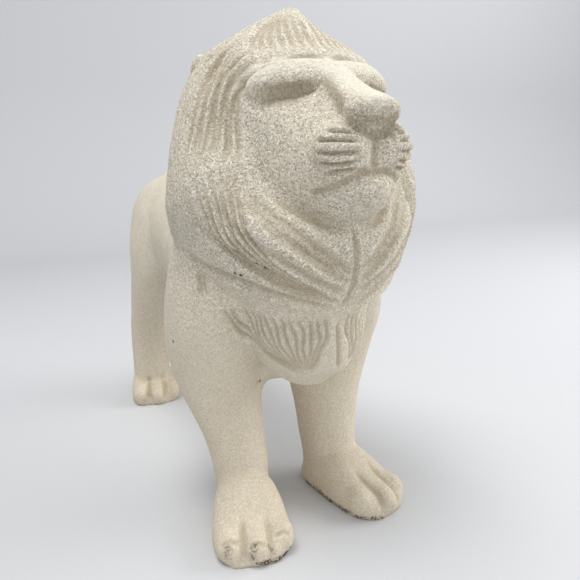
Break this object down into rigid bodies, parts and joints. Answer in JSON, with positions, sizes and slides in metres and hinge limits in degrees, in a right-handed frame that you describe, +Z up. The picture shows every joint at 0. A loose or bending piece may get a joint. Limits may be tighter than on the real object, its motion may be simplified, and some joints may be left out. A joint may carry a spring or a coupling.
{
  "type": "lion statue",
  "caption": "Standing lion cast in one piece of sandy stone, head raised, with a carved mane that ends in a pointed bib over the breast and broad toed paws that it rests on.",
  "frame": {"origin": "on the ground under the middle of the lion's bounding box", "axes": "+Z up; the lion faces -Y, so its tail end is at +Y; +X is the lion's left"},
  "size_m": [0.1602, 0.3818, 0.3304],
  "materials": {
    "sandstone": "rough cast, sandy, unpolished"
  },
  "bodies": {
    "root": {"lion": "sandstone"}
  },
  "joints": []
}
